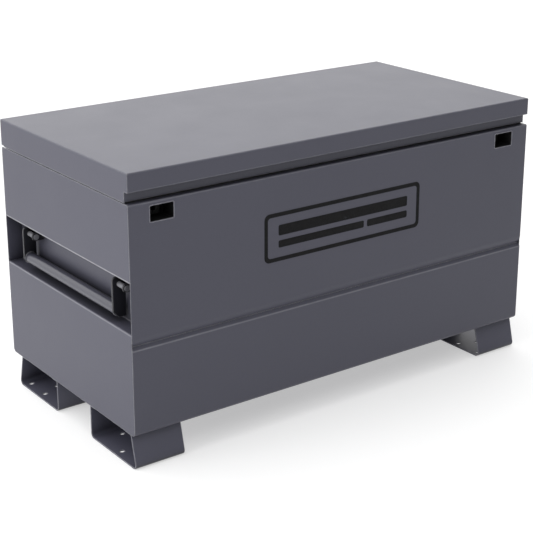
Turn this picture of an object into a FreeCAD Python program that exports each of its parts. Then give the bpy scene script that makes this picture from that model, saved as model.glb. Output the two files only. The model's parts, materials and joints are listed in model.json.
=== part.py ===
"""Steel job-site tool chest: folded sheet body on four bolt-down feet, hinged lid on two gas struts,
two padlock pockets and a drop handle recessed in each end.

Frame: X runs along the front from left to right, the front faces -Y, +Z is up.
The origin is the middle of the footprint, on the surface that the feet stand on. Millimetres.
"""
import FreeCAD, Part
import os
import Sketcher

# Driving dimensions: alias, value in millimetres (angles in degrees), meaning.
DIMENSIONS = [
    ("length", 1219.2, "overall length along X, 48 in"),
    ("depth", 609.6, "overall depth along Y, 24 in"),
    ("height", 704.85, "overall height, 27-3/4 in"),
    ("sheet", 1.5, "body and lid sheet thickness, 16 gauge"),
    ("foot_height", 85.0, "height of the feet, and of the underside of the body"),
    ("foot_length", 132.0, "length of a foot along X"),
    ("foot_width", 211.0, "width of a foot along Y at the ground"),
    ("foot_lean", 21.0, "how far the outer wall of a foot leans in over its height"),
    ("foot_inset", 2.0, "gap from the end of the chest to the end of a foot"),
    ("back_foot_setback", 22.0, "gap from the back of the chest to the back feet"),
    ("foot_sheet", 3.0, "foot sheet thickness, 11 gauge"),
    ("foot_bend", 12.0, "outer bend radius at the bottom of a foot"),
    ("foot_flange", 25.0, "welding flange at the top of each foot wall"),
    ("caster_slot_radius", 5.5, "half width of a caster slot"),
    ("caster_slot_length", 13.0, "caster slot from end to end"),
    ("caster_spacing_x", 92.1, "caster bolt spacing along X, 3-5/8 in"),
    ("caster_spacing_y", 76.2, "caster bolt spacing along Y, 3 in"),
    ("caster_centre", 62.0, "outer bottom corner of a foot to the middle of its caster pattern"),
    ("hold_down_first", 76.0, "outer bottom corner of a foot to its first hold-down hole"),
    ("hold_down_spacing", 101.6, "hold-down hole spacing along Y, 4 in"),
    ("body_top", 634.0, "top of the front rim and of the end panels"),
    ("back_top", 629.5, "top of the back panel, under the hinge leaf"),
    ("rim_width", 28.0, "width of the front and back rim flanges"),
    ("rim_lip_bottom", 626.5, "bottom edge of the down-turned lip of the front rim"),
    ("rail_width", 19.6, "width of the rim rail along each end"),
    ("rail_drop", 15.0, "height of the rim rail"),
    ("bottom_flange", 25.0, "flange of the front and back panels under the floor"),
    ("bottom_bend", 10.0, "outer bend radius at the bottom of the front and back panels"),
    ("top_bend", 4.0, "outer bend radius at the top of the front and back panels"),
    ("crease_top", 318.0, "where the front panel starts to fold in"),
    ("crease_valley", 304.0, "deepest line of the stiffening crease"),
    ("crease_bottom", 296.0, "where the crease meets the lower front again"),
    ("crease_depth", 7.0, "depth of the crease"),
    ("pocket_ceiling", 454.0, "top of the handle pockets"),
    ("pocket_floor", 334.0, "bottom of the handle pockets"),
    ("pocket_depth", 42.0, "depth of the handle pockets"),
    ("window_offset", 524.0, "middle of the chest to the middle of a lock window"),
    ("window_width", 63.0, "lock window along X"),
    ("window_bottom", 586.0, "bottom of the lock windows"),
    ("window_height", 38.5, "height of the lock windows"),
    ("window_corner", 4.0, "corner radius of the lock windows"),
    ("housing_depth", 50.0, "depth of a lock housing behind the front panel"),
    ("padlock_hole_radius", 6.0, "padlock shackle hole"),
    ("padlock_hole_z", 604.0, "height of the shackle holes"),
    ("hasp_width", 32.0, "width of a hasp"),
    ("hasp_sheet", 4.0, "hasp and staple thickness"),
    ("hasp_setback", 36.8, "front of the chest to the front face of a hasp"),
    ("hasp_bottom", 590.0, "lower end of a hasp"),
    ("lid_side_bottom", 636.0, "bottom of the lid's end walls"),
    ("lid_front_bottom", 637.0, "bottom of the lid's recessed front lip"),
    ("lid_step", 661.0, "height of the step in the lid's front"),
    ("lid_step_depth", 15.0, "how far the lower lip of the lid's front is set back"),
    ("lid_back_bottom", 638.5, "bottom of the lid's back wall"),
    ("lid_return", 40.0, "inward flange under the front of the lid"),
    ("lid_side_return", 21.6, "inward flange under the ends of the lid"),
    ("lid_edge", 3.0, "rounding of the lid's outer edges"),
    ("hat_height", 22.0, "height of the lid stiffeners"),
    ("hat_width", 80.0, "width of the lid stiffeners over their brims"),
    ("hat_crown", 40.0, "width of the crown of the lid stiffeners"),
    ("hat_sheet", 1.5, "lid stiffener thickness"),
    ("hat_pitch", 380.0, "distance between the lid stiffeners"),
    ("seal_width", 10.0, "width of the rim seal"),
    ("hinge_setback", 4.3, "back of the chest to the hinge axis"),
    ("hinge_z", 634.0, "height of the hinge axis"),
    ("hinge_length", 1170.0, "length of the hinge"),
    ("hinge_leaf", 22.0, "width of a hinge leaf"),
    ("hinge_sheet", 2.0, "hinge leaf thickness"),
    ("leaf_gap", 0.5, "gap between a hinge leaf and the other leaf's knuckles"),
    ("knuckle_radius", 4.0, "outer radius of the hinge knuckles"),
    ("hinge_pin_radius", 2.4, "hinge pin, 3/16 in across"),
    ("pin_clearance", 0.05, "radial clearance of every pin in its hole"),
    ("knuckle_gap", 0.6, "gap between neighbouring hinge knuckles"),
    ("face_gap", 0.3, "gap between faces that turn past each other"),
    ("handle_pivot_z", 427.0, "height of the handle pivots"),
    ("handle_pivot_in", 19.6, "end of the chest to the handle pivots"),
    ("arm_offset", 219.0, "middle of the chest to the middle of a handle arm"),
    ("arm_sheet", 5.0, "handle arm thickness"),
    ("arm_width", 34.0, "handle arm width"),
    ("arm_top", 17.5, "handle arm above its pivot"),
    ("arm_bottom", 80.0, "handle arm below its pivot"),
    ("arm_corner", 10.0, "rounding of the top corners of a handle arm"),
    ("arm_chamfer", 15.0, "chamfer at the outer lower corner of a handle arm"),
    ("grip_radius", 14.0, "radius of the handle's grip tube"),
    ("grip_wall", 2.5, "wall of the grip tube"),
    ("grip_drop", 63.0, "handle pivot down to the middle of the grip tube"),
    ("handle_pin_radius", 4.75, "handle pivot pin, 3/8 in across"),
    ("spacer_radius", 6.35, "handle spacer tube, 1/2 in across"),
    ("spacer_length", 30.0, "handle spacer tube"),
    ("lug_radius", 10.0, "rounded end of a handle lug"),
    ("lug_sheet", 5.0, "handle lug thickness"),
    ("strut_plane", 575.0, "middle of the chest to the plane of a gas strut"),
    ("strut_reach", 187.0, "hinge axis to each end of a gas strut"),
    ("strut_lid_angle", 14.0, "lid end of a strut above the level of the hinge axis, degrees"),
    ("strut_body_angle", 60.0, "body end of a strut below the level of the hinge axis, degrees"),
    ("strut_tube_radius", 9.0, "outer radius of a strut cylinder"),
    ("strut_tube_wall", 1.4, "wall of a strut cylinder"),
    ("strut_tube_start", 14.0, "body stud to the closed end of the cylinder"),
    ("strut_tube_end", 198.0, "body stud to the open end of the cylinder"),
    ("strut_gland", 12.0, "length of the gland in the open end of the cylinder"),
    ("strut_rod_radius", 4.0, "strut rod"),
    ("strut_piston_start", 22.0, "body stud to the piston with the lid shut"),
    ("strut_piston", 8.0, "length of the piston"),
    ("eye_radius", 9.0, "outer radius of a strut eye"),
    ("eye_width", 10.0, "width of a strut eye"),
    ("eye_neck_radius", 4.8, "radius of the socket on a strut eye"),
    ("stud_radius", 5.0, "strut stud"),
    ("stud_plate", 3.0, "strut bracket plate thickness"),
]

doc = FreeCAD.newDocument("job_site_chest")
dim = doc.addObject("Spreadsheet::Sheet", "dim")
for row, (alias, size_or_angle, meaning) in enumerate(DIMENSIONS, start=1):
    dim.set(f"A{row}", alias)
    dim.set(f"B{row}", str(size_or_angle))
    dim.set(f"C{row}", meaning)
    dim.setAlias(f"B{row}", alias)
doc.recompute()

X_AXIS = FreeCAD.Vector(1, 0, 0)
Y_AXIS = FreeCAD.Vector(0, 1, 0)
PLANE_OF_AXIS = {"X": "YZ_Plane", "Y": "XZ_Plane", "Z": "XY_Plane"}
TURN_OF_AXIS = {
    "X": FreeCAD.Rotation(Y_AXIS, 90),
    "Y": FreeCAD.Rotation(X_AXIS, -90),
    "Z": FreeCAD.Rotation(),
}
SIDES = (("left", -1), ("right", 1))
nodes = []


def value(expression):
    """The number that an expression of the sheet's aliases stands for."""
    return float(dim.evalExpression(str(expression)))


def node(made, label):
    """Mark an object as one of the chest's pieces, under the name that its file gets."""
    made.Label = label
    nodes.append(made)
    return made


# ---- PartDesign helpers: bodies from outlines whose corners are tied to the sheet ----

def new_body(label):
    return node(doc.addObject("PartDesign::Body", label), label)


def new_sketch(body, name, axis, offset="0"):
    """A sketch across an axis of the chest, moved along that sketch's own normal by offset."""
    sketch = body.newObject("Sketcher::SketchObject", name)
    plane = next(p for p in body.Origin.OriginFeatures if p.Role == PLANE_OF_AXIS[axis])
    sketch.AttachmentSupport = [(plane, "")]
    sketch.MapMode = "FlatFace"
    sketch.setExpression("AttachmentOffset.Base.z", offset)
    return sketch


def pin_point(sketch, geometry, point, place):
    """Tie one point of a sketch to a pair of expressions."""
    for kind, expression in zip(("DistanceX", "DistanceY"), place):
        constraint = Sketcher.Constraint(kind, -1, 1, geometry, point, value(expression))
        index = sketch.addConstraint(constraint)
        sketch.setExpression(f"Constraints[{index}]", expression)


def draw_outline(sketch, corners):
    """A closed outline of straight lines through corners given as pairs of expressions."""
    places = [FreeCAD.Vector(value(u), value(v), 0) for u, v in corners]
    first = sketch.GeometryCount
    count = len(places)
    for i in range(count):
        sketch.addGeometry(Part.LineSegment(places[i], places[(i + 1) % count]), False)
    for i in range(count):
        following = first + (i + 1) % count
        sketch.addConstraint(Sketcher.Constraint("Coincident", first + i, 2, following, 1))
        pin_point(sketch, first + i, 1, corners[i])


def draw_circles(sketch, centres, radius):
    """Circles of one radius about centres given as pairs of expressions."""
    for centre in centres:
        middle = FreeCAD.Vector(value(centre[0]), value(centre[1]), 0)
        circle = Part.Circle(middle, FreeCAD.Vector(0, 0, 1), value(radius))
        index = sketch.addGeometry(circle, False)
        pin_point(sketch, index, 3, centre)
        constraint = sketch.addConstraint(Sketcher.Constraint("Radius", index, value(radius)))
        sketch.setExpression(f"Constraints[{constraint}]", radius)


def pad(body, sketch, length):
    """Extrude a sketch half to each side of its plane."""
    feature = body.newObject("PartDesign::Pad", sketch.Name + "_pad")
    feature.Profile = sketch
    feature.SideType = "Symmetric"
    feature.setExpression("Length", length)
    doc.recompute()


def pocket(body, sketch, length):
    """Cut a sketch half to each side of its plane, and make sure that it removed something."""
    before = body.Shape.Volume
    feature = body.newObject("PartDesign::Pocket", sketch.Name + "_pocket")
    feature.Profile = sketch
    feature.SideType = "Symmetric"
    feature.setExpression("Length", length)
    doc.recompute()
    if not body.Shape.Volume < before - 1:
        raise RuntimeError(f"{body.Label}: {sketch.Name} cuts nothing")


def edges_along(shape, axis, corners):
    """Names of the straight edges that run along an axis and pass through the given corners."""
    direction = "XYZ".index(axis)
    across = [i for i in range(3) if i != direction]
    wanted = [(value(u), value(v)) for u, v in corners]
    names = []
    for number, edge in enumerate(shape.Edges, start=1):
        if len(edge.Vertexes) != 2:
            continue
        start, end = (vertex.Point for vertex in edge.Vertexes)
        if any(abs(start[i] - end[i]) > 1e-4 for i in across):
            continue
        for corner in wanted:
            if all(abs(start[i] - corner[k]) < 1e-3 for k, i in enumerate(across)):
                names.append(f"Edge{number}")
    return names


def round_edges(body, radius, runs):
    """Round the edges at the given corners along each axis, all in one feature."""
    names = []
    for axis, corners in runs:
        found = edges_along(body.Shape, axis, corners)
        if len(found) < len(corners):
            raise RuntimeError(f"{body.Label}: {len(found)} edges for {len(corners)} corners")
        names += found
    base = body.Tip
    feature = body.newObject("PartDesign::Fillet", body.Label + "_bend")
    feature.Base = (base, names)
    feature.setExpression("Radius", radius)
    doc.recompute()


def bend(body, axis, radius, corners):
    """Round the edges along one axis, as bends of folded sheet."""
    round_edges(body, radius, [(axis, corners)])


def folded_sheet(label, axis, outline, length, bends, offset="0"):
    """A body made of one folded sheet: its outline extruded along an axis, then its bends."""
    body = new_body(label)
    sketch = new_sketch(body, label + "_outline", axis, offset)
    draw_outline(sketch, outline)
    pad(body, sketch, length)
    for radius, corners in bends:
        bend(body, axis, radius, corners)
    return body


# ---- Part helpers: plates, rods and tubes placed by expressions ----

def place(made, corner):
    for name, expression in zip("xyz", corner):
        made.setExpression(f"Placement.Base.{name}", str(expression))
    return made


def plate(name, size, corner):
    """A box of the given size whose lowest corner is at the given place."""
    made = doc.addObject("Part::Box", name)
    for side, expression in zip(("Length", "Width", "Height"), size):
        made.setExpression(side, str(expression))
    return place(made, corner)


def rod(name, axis, radius, length, start):
    """A cylinder that runs from its start in the positive direction of an axis."""
    made = doc.addObject("Part::Cylinder", name)
    made.setExpression("Radius", str(radius))
    made.setExpression("Height", str(length))
    made.Placement = FreeCAD.Placement(FreeCAD.Vector(), TURN_OF_AXIS[axis])
    return place(made, start)


def join(name, pieces):
    made = doc.addObject("Part::MultiFuse", name)
    made.Shapes = pieces
    return made


def cut(name, base, tool):
    made = doc.addObject("Part::Cut", name)
    made.Base = base
    made.Tool = tool
    return made


def tube(name, axis, outer, inner, length, start):
    return cut(name, rod(name + "_outer", axis, outer, length, start),
               rod(name + "_bore", axis, inner, length, start))


def group(label, pieces):
    """Several separate solids that share one node."""
    made = doc.addObject("Part::Compound", label)
    made.Links = pieces
    return node(made, label)


# ---- Body of the chest ----

FRONT = "-dim.depth / 2"
BACK = "dim.depth / 2"
FRONT_IN = "-dim.depth / 2 + dim.sheet"
BACK_IN = "dim.depth / 2 - dim.sheet"


def relieve_ends(body, inner, far):
    """Stop a panel's flanges short of both side panels, whose edges run on past them."""
    relief = new_sketch(body, body.Label + "_relief", "Z")
    for _, side in SIDES:
        wall = f"{side} * (dim.length / 2 - dim.sheet)"
        end = f"{side} * dim.length"
        draw_outline(relief, [(wall, inner), (end, inner), (end, far), (wall, far)])
    pocket(body, relief, "dim.height * 2")


def make_front_panel():
    """Folded from the rim's down-turned lip, over the rim, down the front and under the floor."""
    rim_back = f"{FRONT} + dim.rim_width"
    flange_back = f"{FRONT} + dim.bottom_flange"
    bottom_in = "dim.foot_height + dim.sheet"
    outline = [
        (rim_back, "dim.rim_lip_bottom"),
        (rim_back, "dim.body_top"),
        (FRONT, "dim.body_top"),
        (FRONT, "dim.crease_top"),
        (f"{FRONT} + dim.crease_depth", "dim.crease_valley"),
        (FRONT, "dim.crease_bottom"),
        (FRONT, "dim.foot_height"),
        (flange_back, "dim.foot_height"),
        (flange_back, bottom_in),
        (FRONT_IN, bottom_in),
        (FRONT_IN, "dim.crease_bottom"),
        (f"{FRONT_IN} + dim.crease_depth", "dim.crease_valley"),
        (FRONT_IN, "dim.crease_top"),
        (FRONT_IN, "dim.body_top - dim.sheet"),
        (f"{rim_back} - dim.sheet", "dim.body_top - dim.sheet"),
        (f"{rim_back} - dim.sheet", "dim.rim_lip_bottom"),
    ]
    bends = [
        ("dim.top_bend", [outline[1], outline[2]]),
        ("dim.top_bend - dim.sheet", [outline[13], outline[14]]),
        ("dim.bottom_bend", [outline[6]]),
        ("dim.bottom_bend - dim.sheet", [outline[9]]),
        ("dim.crease_depth * 4", [outline[3], outline[12]]),
        ("dim.crease_depth", [outline[5], outline[10]]),
    ]
    body = folded_sheet("front_panel", "X", outline, "dim.length", bends)
    windows = new_sketch(body, "lock_windows", "Y", f"-({FRONT})")
    window_corners = []
    for _, side in SIDES:
        near = f"{side} * dim.window_offset - dim.window_width / 2"
        far = f"{side} * dim.window_offset + dim.window_width / 2"
        top = "dim.window_bottom + dim.window_height"
        corners = [(near, "dim.window_bottom"), (far, "dim.window_bottom"), (far, top), (near, top)]
        draw_outline(windows, corners)
        window_corners += corners
    pocket(body, windows, "dim.sheet * 4")
    bend(body, "Y", "dim.window_corner", window_corners)
    relieve_ends(body, FRONT_IN, f"{rim_back} + dim.sheet")


def make_back_panel():
    """Folded from the flange under the hinge, down the back and under the floor."""
    rim_front = f"{BACK} - dim.rim_width"
    flange_front = f"{BACK} - dim.bottom_flange"
    bottom_in = "dim.foot_height + dim.sheet"
    outline = [
        (rim_front, "dim.back_top"),
        (rim_front, "dim.back_top - dim.sheet"),
        (BACK_IN, "dim.back_top - dim.sheet"),
        (BACK_IN, bottom_in),
        (flange_front, bottom_in),
        (flange_front, "dim.foot_height"),
        (BACK, "dim.foot_height"),
        (BACK, "dim.back_top"),
    ]
    bends = [
        ("dim.top_bend", [outline[7]]),
        ("dim.top_bend - dim.sheet", [outline[2]]),
        ("dim.bottom_bend", [outline[6]]),
        ("dim.bottom_bend - dim.sheet", [outline[3]]),
    ]
    body = folded_sheet("back_panel", "X", outline, "dim.length", bends)
    relieve_ends(body, BACK_IN, f"{rim_front} - dim.sheet")


def make_side_panel(name, side):
    """One end of the chest, folded in to form the full-depth handle pocket."""
    out = f"{side} * dim.length / 2"
    out_in = f"{side} * (dim.length / 2 - dim.sheet)"
    deep = f"{side} * (dim.length / 2 - dim.pocket_depth)"
    deep_in = f"{side} * (dim.length / 2 - dim.pocket_depth - dim.sheet)"
    outline = [
        (out, "dim.body_top"),
        (out, "dim.pocket_ceiling"),
        (deep, "dim.pocket_ceiling"),
        (deep, "dim.pocket_floor"),
        (out, "dim.pocket_floor"),
        (out, "dim.foot_height"),
        (out_in, "dim.foot_height"),
        (out_in, "dim.pocket_floor - dim.sheet"),
        (deep_in, "dim.pocket_floor - dim.sheet"),
        (deep_in, "dim.pocket_ceiling + dim.sheet"),
        (out_in, "dim.pocket_ceiling + dim.sheet"),
        (out_in, "dim.body_top"),
    ]
    outer_bend = "dim.sheet * 2"
    bends = [
        (outer_bend, [outline[1], outline[4], outline[8], outline[9]]),
        (f"{outer_bend} - dim.sheet", [outline[2], outline[3], outline[7], outline[10]]),
    ]
    body = folded_sheet(name + "_side_panel", "Y", outline, "dim.depth - 2 * dim.sheet", bends)
    bend(body, "X", "dim.bottom_bend - dim.sheet",
         [(FRONT_IN, "dim.foot_height"), (BACK_IN, "dim.foot_height")])


def make_floor_and_rails():
    """The floor on the panels' bottom flanges, and an angle along the top of each end."""
    size = ("dim.length - 2 * dim.sheet", "dim.depth - 2 * dim.bottom_bend", "dim.sheet")
    corner = ("-dim.length / 2 + dim.sheet", f"{FRONT} + dim.bottom_bend",
              "dim.foot_height + dim.sheet")
    node(plate("floor_panel", size, corner), "floor_panel")
    run = "dim.depth - 2 * dim.rim_width"
    wall = "dim.length / 2 - dim.sheet"
    start = f"{FRONT} + dim.rim_width"
    for name, side in SIDES:
        if side < 0:
            flange_x = f"-({wall})"
            leg_x = f"-({wall}) + dim.rail_width - dim.sheet"
        else:
            flange_x = f"{wall} - dim.rail_width"
            leg_x = flange_x
        flange = plate(name + "_rail_flange", ("dim.rail_width", run, "dim.sheet"),
                       (flange_x, start, "dim.body_top - dim.sheet"))
        leg = plate(name + "_rail_leg", ("dim.sheet", run, "dim.rail_drop"),
                    (leg_x, start, "dim.body_top - dim.rail_drop"))
        node(join(name + "_rim_rail", [flange, leg]), name + "_rim_rail")


def make_rim_seal():
    """Foam strip on the front rim and both rim rails, open at the back where the hinge is."""
    body = new_body("rim_seal")
    outer_x = "(dim.length / 2 - dim.sheet - dim.seal_width / 2)"
    inner_x = "(dim.length / 2 - dim.sheet - dim.seal_width * 1.5)"
    outer_y = f"{FRONT} + dim.lid_step_depth + dim.sheet"
    inner_y = f"{outer_y} + dim.seal_width"
    back_y = f"{BACK} - dim.rim_width - dim.seal_width"
    middle = "(dim.body_top + dim.lid_front_bottom - dim.face_gap) / 2"
    sketch = new_sketch(body, "rim_seal_outline", "Z", middle)
    draw_outline(sketch, [
        (f"-{outer_x}", back_y), (f"-{outer_x}", outer_y), (outer_x, outer_y), (outer_x, back_y),
        (inner_x, back_y), (inner_x, inner_y), (f"-{inner_x}", inner_y), (f"-{inner_x}", back_y),
    ])
    pad(body, sketch, "dim.lid_front_bottom - dim.body_top - dim.face_gap")


def make_foot(name, side_x, side_y):
    """A bent channel, open at both ends, with a leaning outer wall and six holes in its bottom."""
    setback = "dim.back_foot_setback" if side_y > 0 else "0"
    corner = f"(dim.depth / 2 - {setback})"
    lean = "dim.foot_lean / dim.foot_height"
    wall = f"(dim.foot_sheet * sqrt(1 + ({lean}) ^ 2))"

    def inward(distance):
        return f"{side_y} * ({corner} - ({distance}))"

    def leaning(height_up):
        return inward(f"{lean} * ({height_up}) + {wall}")

    top = "dim.foot_height"
    under = "dim.foot_height - dim.foot_sheet"
    outline = [
        (inward("0"), "0"),
        (inward("dim.foot_width"), "0"),
        (inward("dim.foot_width"), top),
        (inward("dim.foot_width - dim.foot_flange"), top),
        (inward("dim.foot_width - dim.foot_flange"), under),
        (inward("dim.foot_width - dim.foot_sheet"), under),
        (inward("dim.foot_width - dim.foot_sheet"), "dim.foot_sheet"),
        (leaning("dim.foot_sheet"), "dim.foot_sheet"),
        (leaning(under), under),
        (inward("dim.foot_lean + dim.foot_flange"), under),
        (inward("dim.foot_lean + dim.foot_flange"), top),
        (inward("dim.foot_lean"), top),
    ]
    small_bend = "dim.foot_sheet * 2"
    bends = [
        ("dim.foot_bend", [outline[0], outline[1]]),
        ("dim.foot_bend - dim.foot_sheet", [outline[6], outline[7]]),
        (small_bend, [outline[2], outline[11]]),
        (f"{small_bend} - dim.foot_sheet", [outline[5], outline[8]]),
    ]
    middle_x = f"{side_x} * (dim.length / 2 - dim.foot_inset - dim.foot_length / 2)"
    body = folded_sheet(name, "X", outline, "dim.foot_length", bends, middle_x)

    half_run = "(dim.caster_slot_length / 2 - dim.caster_slot_radius)"
    slots = new_sketch(body, name + "_slots", "Z")
    ends = []
    for step_x in (-1, 1):
        for step_y in (-1, 1):
            slot_x = f"({middle_x} + {step_x} * dim.caster_spacing_x / 2)"
            slot_y = f"({inward('dim.caster_centre')} + {step_y} * dim.caster_spacing_y / 2)"
            near_y = f"{slot_y} - dim.caster_slot_radius"
            far_y = f"{slot_y} + dim.caster_slot_radius"
            left_x = f"{slot_x} - {half_run}"
            right_x = f"{slot_x} + {half_run}"
            draw_outline(slots, [(left_x, near_y), (right_x, near_y),
                                 (right_x, far_y), (left_x, far_y)])
            ends += [(left_x, slot_y), (right_x, slot_y)]
    pocket(body, slots, "dim.foot_sheet * 4")
    hold_downs = [(middle_x, inward("dim.hold_down_first")),
                  (middle_x, inward("dim.hold_down_first + dim.hold_down_spacing"))]
    holes = new_sketch(body, name + "_round_ends", "Z")
    draw_circles(holes, ends + hold_downs, "dim.caster_slot_radius")
    pocket(body, holes, "dim.foot_sheet * 4")


# ---- Locks ----

HASP_Y = f"{FRONT} + dim.hasp_setback"
STAPLE_Y = f"{HASP_Y} + dim.hasp_sheet + dim.face_gap * 2"


def make_lock(name, side):
    """A box behind each window, with a slot in its top for the hasp and a fixed staple inside."""
    centre = f"{side} * dim.window_offset"
    left = f"{centre} - dim.window_width / 2"
    bottom = "dim.window_bottom"
    top = "dim.window_bottom + dim.window_height"
    shell_size = ("dim.window_width + 2 * dim.sheet", "dim.housing_depth",
                  "dim.window_height + 2 * dim.sheet")
    shell = plate(name + "_housing_shell", shell_size,
                  (f"{left} - dim.sheet", FRONT_IN, f"{bottom} - dim.sheet"))
    cavity = plate(name + "_housing_cavity",
                   ("dim.window_width", "dim.housing_depth - dim.sheet", "dim.window_height"),
                   (left, FRONT_IN, bottom))
    # The top is open from the front panel back to behind the hasp, under the rim's lip.
    slot_back = "dim.hasp_setback + 2 * dim.hasp_sheet"
    slot = plate(name + "_hasp_slot", ("dim.window_width", slot_back, "dim.sheet * 2"),
                 (left, FRONT_IN, f"{top} - dim.sheet / 2"))
    node(cut(name + "_lock_housing", cut(name + "_housing_box", shell, cavity), slot),
         name + "_lock_housing")

    staple_left = f"{centre} - dim.hasp_width / 2"
    web = plate(name + "_staple_web",
                ("dim.hasp_width", "dim.hasp_sheet", "dim.window_height - dim.hasp_sheet"),
                (staple_left, STAPLE_Y, bottom))
    hole_z = "dim.padlock_hole_z"
    staple_hole = rod(name + "_staple_hole", "Y", "dim.padlock_hole_radius", "dim.hasp_sheet * 3",
                      (centre, f"{STAPLE_Y} - dim.hasp_sheet", hole_z))
    staple = cut(name + "_staple", web, staple_hole)

    blade = plate(name + "_hasp_blade",
                  ("dim.hasp_width", "dim.hasp_sheet", "dim.lid_front_bottom - dim.hasp_bottom"),
                  (staple_left, HASP_Y, "dim.hasp_bottom"))
    foot_run = "dim.lid_return - dim.hasp_setback + dim.lid_step_depth"
    foot = plate(name + "_hasp_foot", ("dim.hasp_width", foot_run, "dim.hasp_sheet"),
                 (staple_left, HASP_Y, "dim.lid_front_bottom - dim.hasp_sheet"))
    hasp_hole = rod(name + "_hasp_hole", "Y", "dim.padlock_hole_radius", "dim.hasp_sheet * 3",
                    (centre, f"{HASP_Y} - dim.hasp_sheet", hole_z))
    angle = join(name + "_hasp_angle", [blade, foot])
    node(cut(name + "_hasp", angle, hasp_hole), name + "_hasp")
    return staple


# ---- Lid ----

def make_lid_skin():
    """Folded top with a stepped front and a back wall, closed by an end wall at each end."""
    front_low = f"{FRONT} + dim.lid_step_depth"
    front_low_in = f"{front_low} + dim.sheet"
    return_end = f"{front_low} + dim.lid_return"
    back_end = f"{BACK} - dim.rim_width"
    top_in = "dim.height - dim.sheet"
    outline = [
        (back_end, "dim.lid_back_bottom"),
        (BACK, "dim.lid_back_bottom"),
        (BACK, "dim.height"),
        (FRONT, "dim.height"),
        (FRONT, "dim.lid_step"),
        (front_low, "dim.lid_step"),
        (front_low, "dim.lid_front_bottom"),
        (return_end, "dim.lid_front_bottom"),
        (return_end, "dim.lid_front_bottom + dim.sheet"),
        (front_low_in, "dim.lid_front_bottom + dim.sheet"),
        (front_low_in, "dim.lid_step + dim.sheet"),
        (FRONT_IN, "dim.lid_step + dim.sheet"),
        (FRONT_IN, top_in),
        (BACK_IN, top_in),
        (BACK_IN, "dim.lid_back_bottom + dim.sheet"),
        (back_end, "dim.lid_back_bottom + dim.sheet"),
    ]
    body = folded_sheet("lid_skin", "X", outline, "dim.length", [])
    # The end walls reach lower than the front lip, and are cut back where they pass the hinge.
    hinge_clear = "dim.knuckle_radius * 3"
    end_outline = [
        (FRONT, "dim.height"),
        (FRONT, "dim.lid_step"),
        (front_low, "dim.lid_step"),
        (front_low, "dim.lid_side_bottom"),
        (f"{BACK} - dim.hinge_setback - {hinge_clear}", "dim.lid_side_bottom"),
        (BACK, f"dim.hinge_z + {hinge_clear}"),
        (BACK, "dim.height"),
    ]
    # The ends' flanges lie level with the front's, and run back under the edge of the back's.
    side_return_z = "dim.lid_front_bottom + dim.sheet / 2"
    side_return_back = f"{back_end} + dim.sheet"
    for name, side in SIDES:
        wall_x = f"{side} * (dim.length - dim.sheet) / 2"
        wall = new_sketch(body, name + "_end_wall", "X", wall_x)
        draw_outline(wall, end_outline)
        pad(body, wall, "dim.sheet")
        flange = new_sketch(body, name + "_end_return", "Z", side_return_z)
        out = f"{side} * dim.length / 2"
        inner = f"{side} * (dim.length / 2 - dim.lid_side_return)"
        draw_outline(flange, [(out, front_low), (inner, front_low),
                              (inner, side_return_back), (out, side_return_back)])
        pad(body, flange, "dim.sheet")
    ends = [("-dim.length / 2", "dim.height"), ("dim.length / 2", "dim.height")]
    round_edges(body, "dim.lid_edge", [("X", [outline[2], outline[3]]), ("Y", ends)])
    bend(body, "X", "dim.sheet", [outline[4], outline[6]])


def make_lid_stiffeners():
    """Hat sections under the lid's top, from front to back."""
    reach = "dim.height - dim.sheet"
    hats = []
    for number in (-1, 0, 1):
        middle = f"{number} * dim.hat_pitch"

        def across(distance, sign):
            return f"{middle} + {sign} * ({distance})"

        brim = "dim.hat_width / 2"
        crown = "dim.hat_crown / 2"
        low = f"{reach} - dim.hat_height"
        outline = [(across(brim, -1), reach), (across(brim, -1), f"{reach} - dim.hat_sheet"),
                   (across(crown, -1), f"{reach} - dim.hat_sheet"), (across(crown, -1), low),
                   (across(crown, 1), low), (across(crown, 1), f"{reach} - dim.hat_sheet"),
                   (across(brim, 1), f"{reach} - dim.hat_sheet"), (across(brim, 1), reach),
                   (across(f"{crown} - dim.hat_sheet", 1), reach),
                   (across(f"{crown} - dim.hat_sheet", 1), f"{low} + dim.hat_sheet"),
                   (across(f"{crown} - dim.hat_sheet", -1), f"{low} + dim.hat_sheet"),
                   (across(f"{crown} - dim.hat_sheet", -1), reach)]
        body = doc.addObject("PartDesign::Body", f"hat_{number + 2}")
        sketch = new_sketch(body, f"hat_outline_{number + 2}", "Y")
        draw_outline(sketch, outline)
        pad(body, sketch, "dim.depth - 4 * dim.lid_step_depth")
        hats.append(body)
    group("lid_stiffeners", hats)


# ---- Hinge ----

HINGE_Y = f"({BACK} - dim.hinge_setback)"
KNUCKLES = 15


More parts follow.
